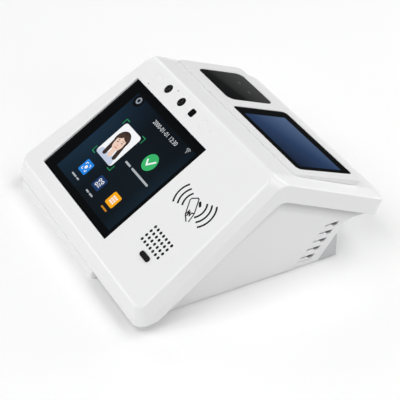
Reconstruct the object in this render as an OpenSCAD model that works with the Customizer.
// Countertop payment terminal in a tent-shaped housing: the customer face slopes up to a ridge,
// an operator display sits behind it, and a narrower vented base carries both.
// Millimetres, +Z up. The origin lies on the counter under the middle of the housing,
// and the customer stands towards -Y.

/* [Housing] */
// Width over the side skirts at the foot of the front lip
front_w = 239; // [228:1:252]
// Width over the side skirts from the ridge to the rear end
ridge_w = 222; // [216:1:228]
// Width of the customer face at its lower edge
face_front_w = 232; // [224:1:236]
// Width of the customer face at the ridge, before its corners are rounded
face_ridge_w = 209; // [204:1:212]
// Width of the rear slope's top
rear_top_w = 200; // [196:1:204]
// Angle of the customer face above the counter
front_slope = 32; // [30:0.5:34]
// Angle of the rear slope below the horizontal
rear_slope = 25.5; // [24:0.5:27]
// Length of the customer face from its lower edge to the ridge
face_len = 144; // [140:1:156]
// Length of the rear slope from the ridge to its rear edge
rear_len = 109; // [106:1:120]
// Height of the customer face's lower edge above the counter
lip_top = 22.6; // [20:0.2:28]
// Height of the lip's underside above the counter
lip_gap = 7.9; // [6:0.1:10]
// How far the foot of the lip stands in front of the face's lower edge
lip_out = 3.7; // [2:0.1:6]
// Wall thickness of the cover and the base
wall = 2.4; // [2:0.1:3]
// Clearance between the cover's skirts and the base's ledge
cover_fit = 0.3; // [0.2:0.05:0.5]
// Clearance of a piece in its seat
seat = 0.1; // [0.05:0.01:0.2]

/* [Housing edges] */
// Corner radius of the customer face
face_corner_r = 8; // [6:0.5:12]
// Corner radius of the customer face at the ridge
ridge_corner_r = 9; // [6:0.5:12]
// Corner radius of the lip
body_corner_r = 9; // [7:0.5:12]
// Corner radius of the rear end
rear_corner_r = 8; // [5:0.5:9]
// Radius along the ridge
ridge_r = 3.5; // [3:0.5:6]
// Radius of the side crease and of the skirt's lower edge where they fold over the ridge
fold_r = 12; // [8:0.5:16]
// Depth of the side crease below the customer face
crease_front = 7.5; // [6:0.1:9]
// Depth of the side crease below the rear slope
crease_rear = 3.2; // [2.5:0.1:5]
// Height of the crease round the lip
crease_lip = 12.8; // [11:0.1:15]
// How far the crease stands out of the straight wall of the lip
crease_out = 0.5; // [0.2:0.1:0.8]
// Depth of the skirt's lower edge below the customer face
skirt_front = 20; // [18:0.5:24]
// Depth of the skirt's lower edge below the rear slope
skirt_rear = 17.8; // [16:0.2:20]
// How far the crease stands out behind the rear slope's edge
rear_out = 4; // [2:0.5:6]

/* [Base] */
// Width of the base at its bottom
base_w = 206; // [200:1:208]
// Gap between the base's side walls and the skirts where they pass under the ridge
base_gap = 4; // [2:0.5:5]
// Distance from the face's lower edge back to the base's front wall
base_front = 8; // [6:0.5:12]
// Distance from the face's lower edge back to the foot of the base's rear wall
base_rear = 166; // [160:1:170]
// Backward lean of the base's rear wall
rear_lean = 37; // [34:0.5:39]
// Radius of the hollow under the rear overhang
overhang_r = 16; // [12:1:20]
// Thickness of the base's floor
floor_t = 2.4; // [2:0.1:3]
// Thickness of the ledge that closes the overhang
ledge_t = 2.2; // [1.8:0.1:2.6]

/* [Louvres] */
// Number of louvres in each side wall
louvre_n = 5; // [3:1:5]
// Length of one louvre
louvre_len = 13; // [11:0.5:15]
// Height of the thin slit at a louvre's front end
slit_h = 1.2; // [0.8:0.1:1.6]
// Length of the mouth at a louvre's rear end
mouth_len = 6.5; // [5:0.5:8]
// How far the mouth hangs below the slit
mouth_drop = 2; // [1:0.1:2.6]
// Distance between louvres up the wall
louvre_pitch = 6.3; // [6:0.1:6.6]
// Height of the lowest louvre above the base's underside
louvre_low = 7.8; // [7.5:0.1:9]
// Backward lean of the row of louvres
louvre_lean = 40; // [38:0.5:42]
// Distance from the strip's front edge to the louvres
louvre_inset = 1; // [0.8:0.1:2]
// Width of the sunk strip round the louvres, at its foot
strip_w = 24; // [22:0.5:26]
// Height of the sunk strip above the base's underside
strip_h = 36.6; // [35:0.2:38]
// Depth of the sunk strip round the louvres
strip_depth = 0.6; // [0.4:0.1:1]

/* [Customer screen] */
// Width of the customer screen's glass
glass_w = 125; // [118:0.5:128]
// Height of the customer screen's glass
glass_h = 106.8; // [100:0.2:108]
// Middle of the glass, across the face
glass_x = -31.5; // [-34:0.5:-29]
// Middle of the glass, up the face
glass_s = 66.6; // [65:0.2:68]
// Corner radius of the glass
glass_r = 1; // [0.5:0.5:3]
// Thickness of the glass
glass_t = 1.6; // [1:0.1:2]
// Depth of the glass below the customer face
glass_depth = 2; // [1:0.1:2.4]
// Width of the sloped sill below the glass
sill_w = 4; // [2:0.5:6]
// Width of the ledge that carries the glass
glass_ledge = 4; // [3:0.5:5]
// Thickness of the ledge that carries the glass
glass_ledge_t = 2; // [1.5:0.1:2.5]
// Thickness of the display panel
panel_t = 4; // [3:0.2:5]

/* [Sensor row] */
// Distance of the sensor row above the glass
sensor_up = 12.5; // [11.5:0.1:13.5]
// Place of the colour camera across the face
rgb_x = -55.5; // [-58:0.5:-53]
// Place of the infrared camera across the face
ir_x = -32; // [-34:0.5:-30]
// Place of the depth sensor across the face
depth_x = -13; // [-15:0.5:-11]
// Place of the left fill light across the face
light_left_x = -75; // [-77:0.5:-73]
// Place of the right fill light across the face
light_right_x = 6; // [4:0.5:8]
// Place of the light sensor across the face
pipe_x = 18.7; // [16:0.1:19]
// Diameter of a camera barrel
camera_d = 8.4; // [7:0.1:9]
// Side of the depth sensor
depth_w = 7; // [6:0.1:8]
// Diameter of a fill light lens
light_d = 8; // [6:0.1:9]
// Diameter of the light sensor's pipe
pipe_d = 1.8; // [1.2:0.1:2.4]
// Diameter of a microphone hole
mic_hole_d = 1.2; // [0.8:0.1:1.6]
// Diameter of a microphone
mic_d = 4; // [3:0.1:4.4]
// Depth of the camera board below the face
camera_board_depth = 6; // [5.8:0.1:7]
// Height of the camera board up the face
camera_board_h = 18; // [17:0.5:18.5]

/* [Speaker and key] */
// Holes of the speaker grille across the face
grille_cols = 7; // [5:1:7]
// Rows of holes in the speaker grille
grille_rows = 4; // [3:1:4]
// Distance between grille holes
grille_pitch = 4.6; // [4:0.1:4.8]
// Diameter of a grille hole
grille_d = 2.6; // [1.8:0.1:2.8]
// Middle of the grille across the face
grille_x = 73.4; // [71:0.2:76]
// Middle of the grille up the face
grille_s = 43.4; // [43:0.2:46]
// Depth of the speaker behind its gasket
speaker_t = 7; // [5:0.5:9]
// Thickness of the speaker gasket
gasket_t = 1.5; // [1:0.1:2]
// Width of the rim of the speaker gasket
gasket_rim = 1.2; // [1:0.1:1.4]
// Length of the key
key_l = 13.2; // [12:0.2:15]
// Width of the key
key_w = 4.6; // [4:0.1:5]
// Middle of the key across the face
key_x = 76.7; // [75:0.1:79]
// Middle of the key up the face
key_s = 29.4; // [28:0.2:29.6]
// How far the key stands out of the face
key_proud = 0.8; // [0.6:0.1:1.2]
// Travel of the key
key_travel = 0.6; // [0.4:0.1:0.8]
// Gap round the key in its slot
key_gap = 0.25; // [0.15:0.05:0.4]

/* [Contactless reader] */
// Width and height of the reader's antenna board
antenna_w = 46; // [40:1:48]
// Middle of the reader across the face
antenna_x = 70.5; // [68:0.5:73]
// Middle of the reader up the face
antenna_s = 83; // [80:0.5:86]
// Thickness of a circuit board
board_t = 1.6; // [1:0.1:2]

/* [Wireless antenna] */
// Length of the wireless antenna's board
wireless_w = 42; // [36:1:48]
// Width of the wireless antenna's board
wireless_h = 9; // [7:0.5:10]
// Middle of the wireless antenna across the rear slope
wireless_x = 62; // [40:1:66]
// Distance from the ridge back to the wireless antenna
wireless_q = 13; // [12.5:0.5:15]

/* [Operator plinth] */
// Distance from the ridge back to the plinth's front edge
plinth_start = 22.6; // [21:0.2:24]
// Length of the plinth down the rear slope
plinth_len = 68; // [66.5:0.5:69]
// Width of the plinth
plinth_w = 199; // [194:1:200]
// Height of the plinth at its front edge
plinth_front_h = 1.5; // [1:0.1:2.5]
// How much flatter the plinth lies than the rear slope
plinth_wedge = 3.1; // [2:0.1:4]
// Corner radius of the plinth
plinth_r = 6; // [4:0.5:8]
// Overlap of the plinth on the cover round its opening
plinth_lap = 4; // [3:0.5:5]
// Depth of the plinth's tub below the rear slope
tub_depth = 4.6; // [4:0.1:6]
// Width of the operator display's glass
op_w = 105.6; // [100:0.2:107]
// Height of the operator display's glass
op_h = 56; // [52:0.2:57]
// Middle of the operator display across the plinth
op_x = 37.2; // [36:0.2:39]
// Corner radius of the operator display's glass
op_r = 4.5; // [3:0.5:6]
// Width of the scanner window
scan_w = 57.8; // [54:0.2:60]
// Height of the scanner window
scan_h = 47; // [44:0.2:49]
// Middle of the scanner window across the plinth
scan_x = -57.1; // [-59:0.1:-56]
// Corner radius of the scanner window
scan_r = 7; // [4:0.5:8]
// Distance from the plinth's front edge to the middle of both windows
window_q = 36.6; // [35.6:0.1:37]
// Thickness of both windows
window_t = 1.5; // [1:0.1:1.8]
// Depth of both windows below the plinth's top
window_depth = 0.4; // [0.2:0.1:0.6]
// Width of the ledge under both windows
window_ledge = 4; // [3:0.2:5]
// Thickness of the operator display panel
op_panel_t = 3.4; // [2.6:0.1:4]
// Depth of the scanner module
scanner_t = 9; // [7:0.5:10]

/* [Port box] */
// Width of the port box
port_w = 205; // [190:1:206]
// Depth of the port box behind the foot of the base's rear wall
port_depth = 17.2; // [16.8:0.2:19]
// Wall thickness of the port box
port_wall = 2; // [1.6:0.1:2.4]
// Gap round a socket in the port box
socket_gap = 0.3; // [0.2:0.05:0.5]
// Place of the power inlet
inlet_x = -48; // [-54:1:-42]
// Place of the network socket
lan_x = -20; // [-26:1:-16]
// Place of the USB socket
usb_x = 8; // [4:1:14]
// Place of the power button
power_x = 40; // [34:1:44]
// Height of the power button above the counter
power_z = 14; // [13:0.5:15]
// Diameter of the power button
power_d = 9; // [7:0.5:10]
// How far the power button stands out
power_proud = 2; // [1.6:0.1:3]
// Travel of the power button
power_travel = 1.2; // [0.8:0.1:1.5]

/* [Feet] */
// How far the rubber feet hold the base off the counter
foot_h = 1.2; // [0.8:0.1:2]
// Diameter of a rubber foot
foot_d = 14; // [10:1:18]
// Depth of the recess that holds a rubber foot
foot_recess = 1.2; // [0.8:0.1:1.4]
// Distance of the rubber feet from the middle line
foot_x = 84; // [70:1:88]
// Left end of the bar under the lip
bar_left = -106; // [-108:1:-90]
// Right end of the bar under the lip
bar_right = 40; // [20:1:60]
// How far the bar's foot stands in front of the lip
bar_toe = 1.9; // [1:0.1:3]
// Corner radius of the bar
bar_r = 5; // [3:0.5:7]

/* [Hidden] */
$fn = 48;

white_plastic = [0.93, 0.93, 0.94];
base_plastic = [0.88, 0.88, 0.89];
port_plastic = [0.74, 0.75, 0.76];
black_glass = [0.03, 0.03, 0.04];
dark_plastic = [0.12, 0.12, 0.13];
board_green = [0.05, 0.30, 0.16];
steel = [0.70, 0.71, 0.73];
rubber_grey = [0.20, 0.20, 0.21];

// Thin layer that stands for a flat outline inside a hull
layer = 0.02;
// Reach of cutting solids past the surface they open
past = 1;
// Reach of cutting solids that clear the whole housing
far = 400;

// Ridge line, and the point where two planes sunk below the slopes meet under it
ridge_y = face_len * cos(front_slope);
ridge_z = lip_top + face_len * sin(front_slope);
function fold_y(df, dr) =
    ridge_y + (df * cos(rear_slope) - dr * cos(front_slope)) / sin(front_slope + rear_slope);
function fold_z(df, dr) =
    ridge_z - (dr * sin(front_slope) + df * sin(rear_slope)) / sin(front_slope + rear_slope);

// Points on the customer face (s up the face) and on the rear slope (q down it), d below the surface
function face_pt(x, s, d = 0) = [
    x,
    s * cos(front_slope) + d * sin(front_slope),
    lip_top + s * sin(front_slope) - d * cos(front_slope)
];
function rear_pt(x, q, d = 0) = [
    x,
    ridge_y + q * cos(rear_slope) - d * sin(rear_slope),
    ridge_z - q * sin(rear_slope) - d * cos(rear_slope)
];

// Front and rear ends of the whole terminal, and the middle that becomes the origin
front_end = -lip_out - bar_toe;
rear_end = rear_pt(0, rear_len + rear_out, crease_rear)[1];
mid_y = (front_end + rear_end) / 2;

// Wall of the lip at a height: it leans from the face's edge out to the foot of the lip
function lip_share(z) = (lip_top - z) / (lip_top - lip_gap);
function lip_y(z) = -lip_out * lip_share(z);
function lip_half(z) = (face_front_w + (front_w - face_front_w) * lip_share(z)) / 2;

// Half width over the side crease at a distance s up the face
function cover_half(s) =
    lip_half(crease_lip) + crease_out + (ridge_w / 2 - lip_half(crease_lip) - crease_out) * s / face_len;

// Side walls of the base lean outwards until they pass close under the skirts at the ridge
base_top_z = fold_z(skirt_front + fold_r, skirt_rear + fold_r) + fold_r + ledge_t;
base_top_half = ridge_w / 2 - wall - cover_fit - base_gap;
base_lean = atan2(base_top_half - base_w / 2, base_top_z - foot_h);

// Rear wall of the base, and the hollow that rounds it into the overhang's level underside
function rear_wall_y(z) = base_rear + (z - foot_h) * tan(rear_lean);
overhang_low = rear_pt(0, rear_len + rear_out, skirt_rear)[2];
overhang_z = overhang_low - overhang_r;
overhang_y = rear_wall_y(overhang_z + overhang_r * sin(rear_lean)) + overhang_r * cos(rear_lean);
// Rear end of the base, inside the rear skirt
tail_q = rear_len + rear_out - wall - cover_fit - past;
tail_d = (ridge_z - tail_q * sin(rear_slope) - overhang_low) / cos(rear_slope);

// Customer screen, behind the face
glass_bottom = glass_depth + glass_t;
ledge_bottom = glass_bottom + glass_ledge_t;
panel_top = glass_bottom + seat;
panel_r = 1;
panel_w = glass_w - 2 * glass_ledge - 2 * seat;
panel_h = glass_h - 2 * glass_ledge - 2 * seat;
bracket_depth = max(panel_top + panel_t, ledge_bottom) + seat;
bracket_t = 1.2;
bracket_boss_d = 6;
bracket_x = glass_w / 2 + glass_ledge + bracket_boss_d / 2;
bracket_drop = 16;
bracket_s = glass_h / 2 - bracket_drop;
bracket_rib = 6;
bracket_band = 23;
bracket_hole_d = 2.6;
bracket_spots = [for (x = [-1, 1], s = [-1, 1]) [glass_x + x * bracket_x, glass_s + s * bracket_s]];

// Sensor row and its board
sensor_s = glass_s + glass_h / 2 + sensor_up;
mic_left = 3;
mic_low = 9;
mic_high = 4.6;
mic_spots = [
    [light_left_x - mic_left, sensor_s - mic_low],
    [(rgb_x + ir_x) / 2 - mic_left / 2, sensor_s + mic_high]
];
mic_t = 1.4;
camera_board_drop = 2.5;
camera_board_s = sensor_s - camera_board_drop;
board_end_left = 13;
board_end_right = 9;
camera_board_left = light_left_x - board_end_left;
camera_board_right = pipe_x + board_end_right;
camera_boss_d = 5;
camera_boss_inset = 3.5;
camera_board_spots = [
    [camera_board_left + camera_boss_inset, sensor_s],
    [camera_board_right - camera_boss_inset, sensor_s]
];

// Speaker and key
grille_w = (grille_cols - 1) * grille_pitch + grille_d;
grille_h = (grille_rows - 1) * grille_pitch + grille_d;
gasket_w = grille_w + 2 * gasket_rim + 0.6;
gasket_h = grille_h + 2 * gasket_rim + 0.6;
key_flange = 1.2;
key_flange_t = 1;
key_back = wall + key_gap;
key_stem_d = 3;
key_stem_end = key_back + key_flange_t + 1.8;
switch_gap = key_travel + 0.2;
switch_t = 1.4;
switch_w = 6;
key_board_depth = key_stem_end + switch_gap + switch_t;
key_board_w = 34;
key_board_h = 7;
key_boss_d = 5;
key_boss_x = 13;
key_board_spots = [for (x = [-1, 1]) [key_x + x * key_boss_x, key_s]];

// Small screws in the bosses behind the customer face: their bores stop short of the face
face_screw_d = 2;
face_head_d = 3.8;
face_head_t = 1.3;
face_bore_top = wall + 0.8;

// Operator plinth
plinth_slope = rear_slope - plinth_wedge;
plinth_top_rear = plinth_front_h + plinth_len * tan(plinth_wedge);
opening_w = plinth_w - 2 * plinth_lap;
opening_l = plinth_len - 2 * plinth_lap;
plinth_mid = plinth_start + plinth_len / 2;
window_back = window_depth + window_t;
op_panel_w = op_w - 2 * window_ledge - 2 * seat;
op_panel_h = op_h - 2 * window_ledge - 2 * seat;
scanner_w = scan_w - 2 * window_ledge - 2 * seat;
scanner_h = scan_h - 2 * window_ledge - 2 * seat;
scanner_lens_x = 9;
scanner_lens_q = 9.5;

// Rear face of the port box
port_rear = base_rear + port_depth;
port_tip = 1.2;

// Main board on its standoffs
inner_floor = foot_h + floor_t;
standoff_h = 2.4;
main_board_z = inner_floor + standoff_h;
main_board_top = main_board_z + board_t;
main_board_w = 176;
main_board_inset = 34;
main_board_back = 8;
tongue_back = 10;
tongue_side = 12;
main_board_front = base_front + main_board_inset;
main_board_rear = base_rear - main_board_back;
tongue_rear = port_rear - tongue_back;
tongue_left = inlet_x - tongue_side;
tongue_right = power_x + tongue_side;
standoff_d = 6.5;
standoff_bore = 2.7;
standoff_inset = 6;
standoff_x = main_board_w / 2 - standoff_inset;
standoff_y = [main_board_front + standoff_inset, main_board_rear - standoff_inset];
standoff_spots = [for (x = [-1, 1], y = standoff_y) [x * standoff_x, y]];
chip_w = 18;
chip_t = 1.6;
chip_back = 52;
chip_y = main_board_front + chip_back;
sink_w = 38;
sink_base = 3;
sink_h = 11;
sink_fins = 7;
fin_t = 1.6;

// Sockets at the rear edge of the main board
socket_end = port_rear - 0.1;
lan_w = 16;
lan_h = 11.6;
lan_l = 21;
usb_w = 14.5;
usb_h = 7;
usb_l = 15;
inlet_w = 10;
inlet_h = 11;
inlet_l = 14;
inlet_bore = 6.4;
inlet_pin = 2;
pocket_l = 10;
tongue_gap_top = 1.4;
power_flange = 1.2;
power_hole = power_d + 2 * socket_gap;
plunger_d = 4;
power_inner = port_rear - port_wall - socket_gap - power_flange;
power_switch_l = 9;
power_switch_w = 10;
plunger_end = power_inner - power_travel - 0.3;

// Screws that hold the cover to the base's ledge
screw_d = 2.4;
screw_head_d = 4.6;
screw_head_t = 1.8;
boss_d = 6.6;
ledge_boss_h = 4.2;
screw_seat = 2.2;
screw_grip = 7;
cover_screw_s = 42;
cover_screw_inset = 6.5;
cover_screw_x = cover_half(cover_screw_s) - cover_screw_inset;
rear_screw_x = 82;
rear_screw_inset = 4;
rear_screw_q = rear_len - rear_screw_inset;
foot_inset = 19;
foot_y = [base_front + foot_inset, base_rear - foot_inset];
foot_spots = [for (x = [-1, 1], y = foot_y) [x * foot_x, y]];
screw_reach = 7;
board_head_d = 5;
board_head_t = 1.8;

// Puts a piece drawn from the face's lower edge into the terminal's own frame
module in_place() {
    translate([0, -mid_y, 0]) children();
}

// Frames that lie on the customer face, on the rear slope and on the plinth's top: z points outwards
module on_face(x, s, d = 0) {
    translate(face_pt(x, s, d)) rotate([front_slope, 0, 0]) children();
}

module on_rear(x, q, d = 0) {
    translate(rear_pt(x, q, d)) rotate([-rear_slope, 0, 0]) children();
}

module on_plinth(x, q, d = 0) {
    translate(rear_pt(0, plinth_start, -plinth_front_h))
        rotate([-plinth_slope, 0, 0]) translate([x, q, -d]) children();
}

// Frame on the right side wall of the base, mirrored for the left one: x points outwards
module on_side(side) {
    mirror([side < 0 ? 1 : 0, 0, 0])
        translate([base_w / 2, 0, foot_h]) rotate([0, base_lean, 0]) children();
}

// Extrudes a side view drawn in Y and Z across the terminal
module along_x(width) {
    rotate([90, 0, 90]) linear_extrude(height = width, center = true) children();
}

module rounded_rect(w, h, r) {
    square([w - 2 * r, h], center = true);
    square([w, h - 2 * r], center = true);
    for (x = [-1, 1], y = [-1, 1]) translate([x * (w / 2 - r), y * (h / 2 - r)]) circle(r);
}

// Rounded plate whose top lies at the frame's z = 0
module plate(w, h, r, t) {
    translate([0, 0, -t]) linear_extrude(height = t) rounded_rect(w, h, r);
}

module stadium(l, w, t) {
    translate([0, 0, -t]) linear_extrude(height = t) {
        square([l - w, w], center = true);
        for (x = [-1, 1]) translate([x * (l - w) / 2, 0]) circle(w / 2);
    }
}

// Outer form of the housing, drawn inset by a wall for its inside
module ridge_roll(inset) {
    half = rear_top_w / 2 - inset;
    d = max(ridge_r, inset + layer);
    translate([-half, fold_y(d, d), fold_z(d, d)])
        rotate([0, 90, 0]) cylinder(r = d - inset, h = 2 * half, $fn = 40);
}

module fold_roll(inset) {
    half = ridge_w / 2 - inset;
    df = crease_front + fold_r;
    dr = crease_rear + fold_r;
    translate([-half, fold_y(df, dr), fold_z(df, dr)])
        rotate([0, 90, 0]) cylinder(r = fold_r - inset, h = 2 * half, $fn = 40);
}

module fold_foot(inset, floor_z) {
    half = ridge_w / 2 - inset;
    y = fold_y(crease_front + fold_r, crease_rear + fold_r);
    translate([-half, y - fold_r + inset, floor_z]) cube([2 * half, 2 * (fold_r - inset), layer]);
}

module lip_layer(side, z, out, inset) {
    r = body_corner_r - inset;
    translate([side * (lip_half(z) + out - body_corner_r), lip_y(z) - out + body_corner_r, z])
        cylinder(r = r, h = layer, $fn = 40);
}

module face_corner(x, s, r, inset) {
    on_face(x, s, inset) translate([0, 0, -layer]) cylinder(r = r - inset, h = layer, $fn = 40);
}

module tent_front(inset, floor_z) {
    ridge_s = face_len - ridge_corner_r - ridge_r / 2;
    hull() {
        for (side = [-1, 1]) {
            face_corner(side * (face_front_w / 2 - face_corner_r), face_corner_r, face_corner_r, inset);
            face_corner(side * (face_ridge_w / 2 - ridge_corner_r), ridge_s, ridge_corner_r, inset);
            lip_layer(side, crease_lip, crease_out, inset);
            lip_layer(side, floor_z, 0, inset);
        }
        ridge_roll(inset);
        fold_roll(inset);
        fold_foot(inset, floor_z);
    }
}

module rear_layer(side, half, q, d, inset) {
    on_rear(side * (half - rear_corner_r), q - rear_corner_r, d)
        translate([0, 0, -layer]) cylinder(r = rear_corner_r - inset, h = layer, $fn = 40);
}

module tent_rear(inset, floor_z) {
    hull() {
        for (side = [-1, 1]) {
            rear_layer(side, rear_top_w / 2, rear_len, inset, inset);
            rear_layer(side, ridge_w / 2, rear_len + rear_out, crease_rear + inset / 2, inset);
            rear_layer(side, ridge_w / 2, rear_len + rear_out, skirt_rear + 2 * wall, inset);
        }
        ridge_roll(inset);
        fold_roll(inset);
        fold_foot(inset, floor_z);
    }
}

module tent(inset) {
    floor_z = inset > 0 ? lip_gap - past : lip_gap;
    tent_front(inset, floor_z);
    tent_rear(inset, floor_z);
}

// Side view of the space under the skirts, raised by some thickness
module under_skirts(raise) {
    df = skirt_front - raise;
    dr = skirt_rear - raise;
    bend_s = (lip_gap + raise - lip_top + df * cos(front_slope)) / sin(front_slope);
    bend = face_pt(0, bend_s, df);
    tail = rear_pt(0, rear_len + far / 4, dr);
    r = fold_r + raise;
    cy = fold_y(skirt_front + fold_r, skirt_rear + fold_r);
    cz = fold_z(skirt_front + fold_r, skirt_rear + fold_r);
    steps = 10;
    arc = [for (i = [0:steps])
        let (a = 90 + front_slope - i * (front_slope + rear_slope) / steps)
        [cy + r * cos(a), cz + r * sin(a)]];
    polygon(concat(
        [[-far, -far], [-far, lip_gap + raise], [bend[1], bend[2]]],
        arc,
        [[tail[1], tail[2]], [far, -far]]
    ));
}

// Shell of the cover, before its openings
module cover_shell() {
    difference() {
        tent(0);
        tent(wall);
        along_x(far) under_skirts(0);
    }
}

module glass_frame() {
    on_face(glass_x, glass_s, wall - past)
        plate(glass_w + 2 * glass_ledge, glass_h + 2 * glass_ledge, glass_r + glass_ledge,
            ledge_bottom - wall + past);
}

module sill_cut() {
    on_face(glass_x, glass_s - glass_h / 2 - sill_w)
        rotate([-atan2(glass_depth, sill_w), 0, 0])
            translate([-glass_w / 2 + glass_r, 0, 0])
                cube([glass_w - 2 * glass_r, norm([sill_w, glass_depth]), glass_depth + past]);
}

module cover_bosses() {
    for (p = bracket_spots) face_boss(p, bracket_depth, bracket_boss_d);
    for (p = camera_board_spots) face_boss(p, camera_board_depth, camera_boss_d);
    for (p = key_board_spots) face_boss(p, key_board_depth, key_boss_d);
    for (side = [-1, 1]) {
        front_end_d = skirt_front - ledge_boss_h - seat;
        on_face(side * cover_screw_x, cover_screw_s, front_end_d)
            cylinder(d = boss_d, h = front_end_d - wall + past);
        rear_end_d = skirt_rear - ledge_boss_h - seat;
        on_rear(side * rear_screw_x, rear_screw_q, rear_end_d)
            cylinder(d = boss_d, h = rear_end_d - wall + past);
    }
}

// Boss behind the face that ends at a piece d below it, and the bore, hole and screw that go with it
module face_boss(p, d, width) {
    on_face(p[0], p[1], d - seat) cylinder(d = width, h = d - seat - wall + past);
}

module face_bore(p, d) {
    on_face(p[0], p[1], d) cylinder(d = face_screw_d + 2 * seat, h = d - face_bore_top);
}

module face_hole(p, d) {
    on_face(p[0], p[1], d + board_t + past) cylinder(d = bracket_hole_d, h = board_t + 2 * past);
}

module face_screw(p, d, clamp) {
    back = d + clamp + seat;
    on_face(p[0], p[1], back) {
        cylinder(d = face_screw_d, h = back - face_bore_top - seat);
        translate([0, 0, -face_head_t]) cylinder(d = face_head_d, h = face_head_t);
    }
}

module cover_bores() {
    for (p = bracket_spots) face_bore(p, bracket_depth);
    for (p = camera_board_spots) face_bore(p, camera_board_depth);
    for (p = key_board_spots) face_bore(p, key_board_depth);
    for (side = [-1, 1]) {
        on_face(side * cover_screw_x, cover_screw_s, skirt_front)
            cylinder(d = screw_d + 2 * seat, h = ledge_boss_h + screw_grip + seat);
        on_rear(side * rear_screw_x, rear_screw_q, skirt_rear)
            cylinder(d = screw_d + 2 * seat, h = ledge_boss_h + screw_grip + seat);
    }
}

module sensor_holes() {
    depth = ledge_bottom + past;
    for (x = [rgb_x, ir_x])
        on_face(x, sensor_s, depth) cylinder(d = camera_d + 2 * seat, h = depth + past);
    for (x = [light_left_x, light_right_x])
        on_face(x, sensor_s, depth) cylinder(d = light_d + 2 * seat, h = depth + past);
    on_face(pipe_x, sensor_s, depth) cylinder(d = pipe_d + 2 * seat, h = depth + past);
    on_face(depth_x, sensor_s, -past)
        plate(depth_w + 2 * seat, depth_w + 2 * seat, 1.8, depth + past);
    for (m = mic_spots) {
        on_face(m[0], m[1], depth) cylinder(d = mic_hole_d, h = depth + past);
        on_face(m[0], m[1], camera_board_depth)
            cylinder(d = mic_d + 2 * seat, h = camera_board_depth - wall);
    }
}

module grille_holes() {
    for (i = [0:grille_cols - 1], j = [0:grille_rows - 1])
        on_face(
            grille_x + (i - (grille_cols - 1) / 2) * grille_pitch,
            grille_s + (j - (grille_rows - 1) / 2) * grille_pitch,
            wall + past
        ) cylinder(d = grille_d, h = wall + 2 * past, $fn = 20);
}

module upper_cover() {
    color(white_plastic) in_place() difference() {
        union() {
            cover_shell();
            glass_frame();
            cover_bosses();
        }
        on_face(glass_x, glass_s, -past)
            plate(glass_w + 2 * seat, glass_h + 2 * seat, glass_r + seat, glass_bottom + past);
        on_face(glass_x, glass_s, glass_depth)
            plate(panel_w + 2 * seat, panel_h + 2 * seat, panel_r, ledge_bottom);
        sill_cut();
        sensor_holes();
        grille_holes();
        on_face(key_x, key_s, -past) stadium(key_l + 2 * key_gap, key_w + 2 * key_gap, wall + 2 * past);
        on_rear(0, plinth_mid, -past) plate(opening_w, opening_l, plinth_r, wall + 2 * past);
        cover_bores();
    }
}

// Side view of the base: its rear wall leans back and rounds into the overhang's underside
module base_outline() {
    steps = 8;
    tail_low = rear_pt(0, tail_q, tail_d);
    tail_high = rear_pt(0, tail_q);
    arc = [for (i = [0:steps])
        let (a = 180 - rear_lean - i * (90 - rear_lean) / steps)
        [overhang_y + overhang_r * cos(a), overhang_z + overhang_r * sin(a)]];
    polygon(concat(
        [[base_front, far], [base_front, foot_h], [base_rear, foot_h]],
        arc,
        [[tail_low[1], tail_low[2]], [tail_high[1], tail_high[2]], [tail_high[1], far]]
    ));
}

module base_hollow_outline() {
    back = wall / cos(rear_lean);
    top = overhang_low + wall;
    polygon([
        [base_front + wall, inner_floor],
        [rear_wall_y(inner_floor) - back, inner_floor],
        [rear_wall_y(top) - back, top],
        [overhang_y, top],
        [overhang_y, far],
        [base_front + wall, far]
    ]);
}

// Front view of the base, with side walls that lean outwards
module base_section(inset) {
    low = base_w / 2 - inset;
    high = low + (far / 2) * tan(base_lean);
    rotate([90, 0, 0]) linear_extrude(height = 2 * far, center = true)
        polygon([[-low, foot_h], [low, foot_h], [high, foot_h + far / 2], [-high, foot_h + far / 2]]);
}

module ledge() {
    intersection() {
        tent(wall + cover_fit);
        along_x(far) difference() {
            under_skirts(ledge_t);
            under_skirts(0);
        }
    }
}

module ledge_bosses() {
    for (side = [-1, 1]) {
        on_face(side * cover_screw_x, cover_screw_s, skirt_front) cylinder(d = boss_d, h = ledge_boss_h);
        on_rear(side * rear_screw_x, rear_screw_q, skirt_rear) cylinder(d = boss_d, h = ledge_boss_h);
    }
}

module ledge_bores() {
    for (side = [-1, 1]) {
        on_face(side * cover_screw_x, cover_screw_s, skirt_front + past) screw_bore();
        on_rear(side * rear_screw_x, rear_screw_q, skirt_rear + past) screw_bore();
    }
}

module screw_bore() {
    cylinder(d = screw_d + 4 * seat, h = ledge_boss_h + 2 * past);
    translate([0, 0, -screw_reach])
        cylinder(d = screw_head_d + 4 * seat, h = screw_reach + screw_seat + past);
}

// Louvres climb beside the rear wall's edge, in a sunk strip: a thin slit opens into a mouth
module louvres() {
    climb = tan(louvre_lean);
    strip_front = base_rear - strip_w;
    along_x(2 * strip_depth) polygon([
        [strip_front - past * climb, -past],
        [base_rear + far / 4, -past],
        [base_rear + far / 4, strip_h],
        [strip_front + strip_h * climb, strip_h]
    ]);
    along_x(6 * wall) for (i = [0:louvre_n - 1]) {
        z = louvre_low + i * louvre_pitch;
        translate([strip_front + louvre_inset + z * climb, z]) louvre_outline(climb);
    }
    along_x(4 * strip_depth) translate([strip_front + louvre_inset + louvre_low / 2 * climb, louvre_low / 2])
        square([louvre_len, slit_h / 2]);
}

module louvre_outline(climb) {
    high = slit_h / 2;
    low = -slit_h / 2 - mouth_drop;
    polygon([
        [0, -high],
        [louvre_len - mouth_len, -high],
        [louvre_len - mouth_len + mouth_drop / 2, low],
        [louvre_len + low * climb, low],
        [louvre_len + high * climb, high],
        [0, high]
    ]);
}

module standoffs() {
    for (p = standoff_spots)
        translate([p[0], p[1], inner_floor - past]) cylinder(d = standoff_d, h = standoff_h + past);
}

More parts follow.
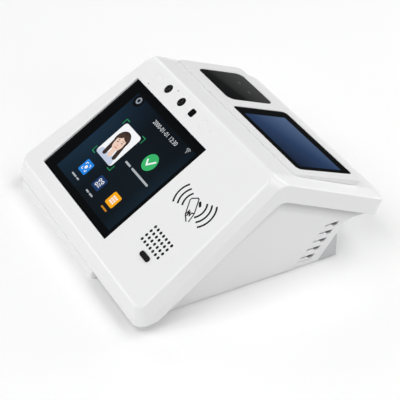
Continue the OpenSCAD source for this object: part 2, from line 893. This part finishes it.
module lower_housing() {
    color(base_plastic) in_place() difference() {
        union() {
            ledge();
            ledge_bosses();
            difference() {
                intersection() {
                    along_x(far) intersection() {
                        base_outline();
                        under_skirts(ledge_t / 2);
                    }
                    base_section(0);
                }
                for (side = [-1, 1]) on_side(side) louvres();
            }
        }
        difference() {
            intersection() {
                along_x(far) base_hollow_outline();
                base_section(wall);
            }
            standoffs();
        }
        ledge_bores();
        for (p = standoff_spots)
            translate([p[0], p[1], foot_h + past]) cylinder(d = standoff_bore, h = far);
        for (p = foot_spots)
            translate([p[0], p[1], 0]) cylinder(d = foot_d + 2 * seat, h = foot_h + foot_recess);
        translate([tongue_left - past, base_rear - tongue_side, main_board_z - past])
            cube([tongue_right - tongue_left + 2 * past, far, lan_h + board_t + tongue_gap_top]);
    }
}

module front_foot() {
    top = lip_gap - seat;
    color(base_plastic) in_place() intersection() {
        along_x(far) polygon([
            [front_end, 0],
            [-lip_out, top],
            [base_front - seat, top],
            [base_front - seat, 0]
        ]);
        translate([(bar_left + bar_right) / 2, front_end + base_front, 0])
            linear_extrude(height = lip_gap)
                rounded_rect(bar_right - bar_left, 2 * base_front, bar_r);
    }
}

// Moulded box behind the leaning rear wall, open towards the base
module port_outline(inset) {
    top = foot_h + port_depth / tan(rear_lean) - port_tip;
    back = (seat - inset) / cos(rear_lean);
    polygon([
        [rear_wall_y(foot_h + inset) + back, foot_h + inset],
        [port_rear - inset, foot_h + inset],
        [port_rear - inset, top - inset],
        [rear_wall_y(top - inset) + back, top - inset]
    ]);
}

module rear_port_box() {
    color(port_plastic) in_place() difference() {
        along_x(port_w) port_outline(0);
        along_x(port_w - 2 * port_wall) port_outline(port_wall);
        socket_hole(lan_x, lan_w, lan_h);
        socket_hole(usb_x, usb_w, usb_h);
        socket_hole(inlet_x, inlet_w, inlet_h);
        translate([power_x, port_rear + past, power_z]) rotate([90, 0, 0])
            cylinder(d = power_hole, h = port_wall + 2 * past);
    }
}

module socket_hole(x, w, h) {
    translate([x - w / 2 - socket_gap, port_rear - port_wall - past, main_board_top])
        cube([w + 2 * socket_gap, port_wall + 2 * past, h + socket_gap]);
}

module rubber_feet() {
    color(rubber_grey) in_place() for (p = foot_spots)
        translate([p[0], p[1], 0]) cylinder(d = foot_d, h = foot_h + foot_recess - seat);
}

module cover_screws() {
    color(steel) in_place() for (side = [-1, 1]) {
        on_face(side * cover_screw_x, cover_screw_s, skirt_front - screw_seat + seat) cover_screw();
        on_rear(side * rear_screw_x, rear_screw_q, skirt_rear - screw_seat + seat) cover_screw();
    }
}

module cover_screw() {
    cylinder(d = screw_d, h = ledge_boss_h - screw_seat + screw_grip - past);
    translate([0, 0, -screw_head_t]) cylinder(d = screw_head_d, h = screw_head_t);
}

module front_glass() {
    color(black_glass) in_place() on_face(glass_x, glass_s, glass_depth)
        plate(glass_w, glass_h, glass_r, glass_t);
}

module front_display() {
    color(dark_plastic) in_place() on_face(glass_x, glass_s, panel_top)
        plate(panel_w, panel_h, panel_r, panel_t);
}

// Pressed frame that clamps the display panel against the glass
module display_bracket() {
    color(steel) in_place() on_face(glass_x, glass_s, bracket_depth) difference() {
        plate(2 * bracket_x + bracket_boss_d, 2 * bracket_s + bracket_boss_d, 3, bracket_t);
        for (x = [-1, 1])
            translate([x * panel_w / 4, 0, past])
                plate(panel_w / 2 - 2 * bracket_rib, panel_h - 2 * bracket_band, 4, bracket_t + 2 * past);
        for (x = [-1, 1], s = [-1, 1])
            translate([x * bracket_x, s * bracket_s, -bracket_t - past])
                cylinder(d = bracket_hole_d, h = bracket_t + 2 * past);
    }
}

// Camera barrel: a rim, a sunk funnel and a domed lens, turned about its axis
module camera_barrel(x) {
    front = 0.3;
    rim = 0.9;
    funnel = 1.2;
    lens_r = 2.1;
    r = camera_d / 2;
    on_face(x, sensor_s) rotate_extrude() polygon(concat(
        [[0, seat - camera_board_depth], [r, seat - camera_board_depth], [r, -front], [r - rim, -front],
            [lens_r, -front - funnel]],
        [for (a = [15:15:90]) [lens_r * cos(a), -front - funnel + 0.8 * sin(a)]]
    ));
}

module rgb_camera() {
    color(black_glass) in_place() camera_barrel(rgb_x);
}

module ir_camera() {
    color(black_glass) in_place() camera_barrel(ir_x);
}

module depth_sensor() {
    color(black_glass) in_place() on_face(depth_x, sensor_s, 0.3)
        plate(depth_w, depth_w, 1.7, camera_board_depth - 0.3 - seat);
}

module fill_light_lenses() {
    color([0.92, 0.93, 0.92]) in_place() for (x = [light_left_x, light_right_x])
        on_face(x, sensor_s, camera_board_depth - seat)
            cylinder(d = light_d, h = camera_board_depth - 2 * seat);
}

module light_sensor_pipe() {
    color([0.92, 0.93, 0.92]) in_place() on_face(pipe_x, sensor_s, camera_board_depth - seat)
        cylinder(d = pipe_d, h = camera_board_depth - 2 * seat);
}

module camera_board() {
    w = camera_board_right - camera_board_left;
    color(board_green) in_place() difference() {
        on_face((camera_board_left + camera_board_right) / 2, camera_board_s, camera_board_depth)
            plate(w, camera_board_h, 1.5, board_t);
        for (p = camera_board_spots) face_hole(p, camera_board_depth);
    }
}

module microphones() {
    color(steel) in_place() for (m = mic_spots)
        on_face(m[0], m[1], camera_board_depth - seat) cylinder(d = mic_d, h = mic_t);
}

// Speaker: a square basket with a round magnet
module speaker() {
    color(dark_plastic) in_place() on_face(grille_x, grille_s, wall + gasket_t + 2 * seat) {
        difference() {
            plate(gasket_w, gasket_h, 2, speaker_t / 2);
            translate([0, 0, past]) plate(grille_w - 2, grille_h - 2, 2, 1.5 + past);
        }
        translate([0, 0, -speaker_t]) cylinder(d = gasket_h - 2, h = speaker_t / 2 + 0.1);
    }
}

module speaker_gasket() {
    color(rubber_grey) in_place() on_face(grille_x, grille_s, wall + seat) difference() {
        plate(gasket_w, gasket_h, 2, gasket_t);
        translate([0, 0, past])
            plate(gasket_w - 2 * gasket_rim, gasket_h - 2 * gasket_rim, 1, gasket_t + 2 * past);
    }
}

// Antenna board with its square coil standing up as raised turns
module contactless_antenna() {
    turns = 4;
    track = 1;
    color(board_green) in_place() on_face(antenna_x, antenna_s, wall + seat + 0.2) {
        plate(antenna_w, antenna_w, 2, board_t);
        for (i = [0:turns - 1]) {
            w = antenna_w - 3 - 4 * i * track;
            translate([0, 0, 0.15]) difference() {
                plate(w, w, 2, 0.2);
                translate([0, 0, past]) plate(w - 2 * track, w - 2 * track, 1, 2 * past);
            }
        }
    }
}

module front_key() {
    color(dark_plastic) in_place() on_face(key_x, key_s) {
        translate([0, 0, key_proud]) stadium(key_l, key_w, key_proud + key_back + 0.1);
        translate([0, 0, -key_back]) stadium(key_l + 2 * key_flange, key_w + 2 * key_flange, key_flange_t);
        translate([0, 0, -key_stem_end]) cylinder(d = key_stem_d, h = key_stem_end - key_back);
    }
}

module key_switch_board() {
    color(board_green) in_place() difference() {
        on_face(key_x, key_s, key_board_depth) {
            plate(key_board_w, key_board_h, 1, board_t);
            translate([-switch_w / 2, -switch_w / 2, -0.1]) cube([switch_w, switch_w, switch_t + 0.1]);
        }
        for (p = key_board_spots) face_hole(p, key_board_depth);
    }
}

// Wedge frame on the rear slope, with a tub that drops into the cover's opening
module rear_plinth() {
    color(white_plastic) in_place() difference() {
        union() {
            on_rear(0, plinth_start) intersection() {
                along_x(plinth_w) polygon([
                    [0, seat], [plinth_len, seat], [plinth_len, plinth_top_rear], [0, plinth_front_h]
                ]);
                translate([0, plinth_len / 2, past + plinth_top_rear])
                    plate(plinth_w, plinth_len, plinth_r, plinth_top_rear + past);
            }
            on_rear(0, plinth_mid, -seat - 0.1)
                plate(opening_w - 2 * cover_fit, opening_l - 2 * cover_fit, plinth_r - cover_fit, tub_depth);
        }
        window_cut(op_x, op_w, op_h, op_r);
        window_cut(scan_x, scan_w, scan_h, scan_r);
    }
}

module window_cut(x, w, h, r) {
    on_plinth(x, window_q, -past) plate(w + 2 * seat, h + 2 * seat, r, window_back + past);
    on_plinth(x, window_q) plate(w - 2 * window_ledge, h - 2 * window_ledge, panel_r, far / 10);
}

module operator_glass() {
    color(black_glass) in_place() on_plinth(op_x, window_q, window_depth)
        plate(op_w, op_h, op_r - seat, window_t - seat);
}

module operator_display() {
    color([0.05, 0.12, 0.30]) in_place() on_plinth(op_x, window_q, window_back)
        plate(op_panel_w, op_panel_h, panel_r, op_panel_t);
}

module scanner_window() {
    color(black_glass) in_place() on_plinth(scan_x, window_q, window_depth)
        plate(scan_w, scan_h, scan_r - seat, window_t - seat);
}

// Code reader: a block with two lens barrels behind the window
module scanner_module() {
    color(dark_plastic) in_place() on_plinth(scan_x, window_q, window_back) {
        translate([0, 0, -2.5]) plate(scanner_w, scanner_h, panel_r, scanner_t - 2.5);
        for (x = [-1, 1]) translate([x * scanner_lens_x, scanner_lens_q, -2.6]) difference() {
            cylinder(d = 9, h = 2.6);
            translate([0, 0, 1.6]) cylinder(d1 = 4, d2 = 7, h = 1.1);
        }
    }
}

module main_board() {
    color(board_green) in_place() difference() {
        union() {
            translate([-main_board_w / 2, main_board_front, main_board_z])
                cube([main_board_w, main_board_rear - main_board_front, board_t]);
            translate([tongue_left, main_board_rear - past, main_board_z])
                cube([tongue_right - tongue_left, tongue_rear - main_board_rear + past, board_t]);
            translate([-chip_w / 2, chip_y - chip_w / 2, main_board_top - 0.1])
                cube([chip_w, chip_w, chip_t + 0.1]);
        }
        for (p = standoff_spots) translate([p[0], p[1], 0]) cylinder(d = standoff_bore + 0.6, h = far / 10);
    }
}

module heat_sink() {
    bottom = main_board_top + chip_t + seat;
    pitch = (sink_w - fin_t) / (sink_fins - 1);
    color(steel) in_place() translate([-sink_w / 2, chip_y - sink_w / 2, bottom]) {
        cube([sink_w, sink_w, sink_base]);
        for (i = [0:sink_fins - 1]) translate([i * pitch, 0, 0]) cube([fin_t, sink_w, sink_h]);
    }
}

module power_inlet() {
    z = main_board_top + seat;
    bore_z = z + inlet_h / 2;
    color(dark_plastic) in_place() {
        difference() {
            translate([inlet_x - inlet_w / 2, socket_end - inlet_l, z])
                cube([inlet_w, inlet_l, inlet_h - 2 * seat]);
            translate([inlet_x, socket_end + past, bore_z]) rotate([90, 0, 0])
                cylinder(d = inlet_bore, h = pocket_l + past);
        }
        translate([inlet_x, socket_end - 1, bore_z]) rotate([90, 0, 0]) cylinder(d = inlet_pin, h = pocket_l);
    }
}

module usb_socket() {
    z = main_board_top + seat;
    shell = 0.5;
    color(steel) in_place() {
        difference() {
            translate([usb_x - usb_w / 2, socket_end - usb_l, z]) cube([usb_w, usb_l, usb_h - 2 * seat]);
            translate([usb_x - usb_w / 2 + shell, socket_end - pocket_l, z + shell])
                cube([usb_w - 2 * shell, pocket_l + past, usb_h - 2 * seat - 2 * shell]);
        }
        translate([usb_x - 5.6, socket_end - pocket_l - past, z + 3.6]) cube([11.2, pocket_l, 1.9]);
    }
}

// Network socket with the stepped mouth that takes a plug and its latch
module lan_socket() {
    z = main_board_top + seat;
    color(dark_plastic) in_place() difference() {
        translate([lan_x - lan_w / 2, socket_end - lan_l, z]) cube([lan_w, lan_l, lan_h - 2 * seat]);
        translate([lan_x - 6, socket_end - pocket_l, z + 3.8]) cube([12, pocket_l + past, 6.8]);
        translate([lan_x - 3.2, socket_end - pocket_l, z + 1.2]) cube([6.4, pocket_l + past, 3]);
    }
}

module power_button() {
    r = power_d / 2;
    color(dark_plastic) in_place() translate([power_x, 0, power_z]) rotate([-90, 0, 0])
        rotate_extrude() polygon([
            [0, power_inner],
            [r + 1, power_inner],
            [r + 1, power_inner + power_flange],
            [r, power_inner + power_flange],
            [r, port_rear + power_proud - 0.6],
            [r - 0.6, port_rear + power_proud],
            [0, port_rear + power_proud]
        ]);
}

module power_switch() {
    z = main_board_top + seat;
    color(dark_plastic) in_place() {
        translate([power_x - power_switch_w / 2, plunger_end - 3 - power_switch_l, z])
            cube([power_switch_w, power_switch_l, 2 * (power_z - z)]);
        translate([power_x, plunger_end - 3.1, power_z]) rotate([-90, 0, 0]) cylinder(d = plunger_d, h = 3.1);
    }
}

module board_screws() {
    color(steel) in_place() for (p = standoff_spots) translate([p[0], p[1], main_board_top + seat]) {
        cylinder(d = board_head_d, h = board_head_t);
        translate([0, 0, -board_t - standoff_h]) cylinder(d = screw_d, h = board_t + standoff_h + 0.1);
    }
}

module bracket_screws() {
    color(steel) in_place() for (p = bracket_spots) face_screw(p, bracket_depth, bracket_t);
}

module face_board_screws() {
    color(steel) in_place() {
        for (p = camera_board_spots) face_screw(p, camera_board_depth, board_t);
        for (p = key_board_spots) face_screw(p, key_board_depth, board_t);
    }
}

// Antenna strip stuck to the inside of the rear slope, with the button that takes its lead
module wireless_antenna() {
    strip_t = 0.8;
    color(board_green) in_place() on_rear(wireless_x, wireless_q, wall + seat) {
        plate(wireless_w, wireless_h, 1, strip_t);
        translate([wireless_w / 3, 0, -strip_t - 1.2]) cylinder(d = 3, h = 1.3);
    }
}

upper_cover();
lower_housing();
front_foot();
rear_port_box();
rubber_feet();
cover_screws();
front_glass();
front_display();
display_bracket();
rgb_camera();
ir_camera();
depth_sensor();
fill_light_lenses();
light_sensor_pipe();
camera_board();
microphones();
speaker();
speaker_gasket();
contactless_antenna();
front_key();
key_switch_board();
rear_plinth();
operator_glass();
operator_display();
scanner_window();
scanner_module();
main_board();
heat_sink();
power_inlet();
usb_socket();
lan_socket();
power_button();
power_switch();
board_screws();
bracket_screws();
face_board_screws();
wireless_antenna();
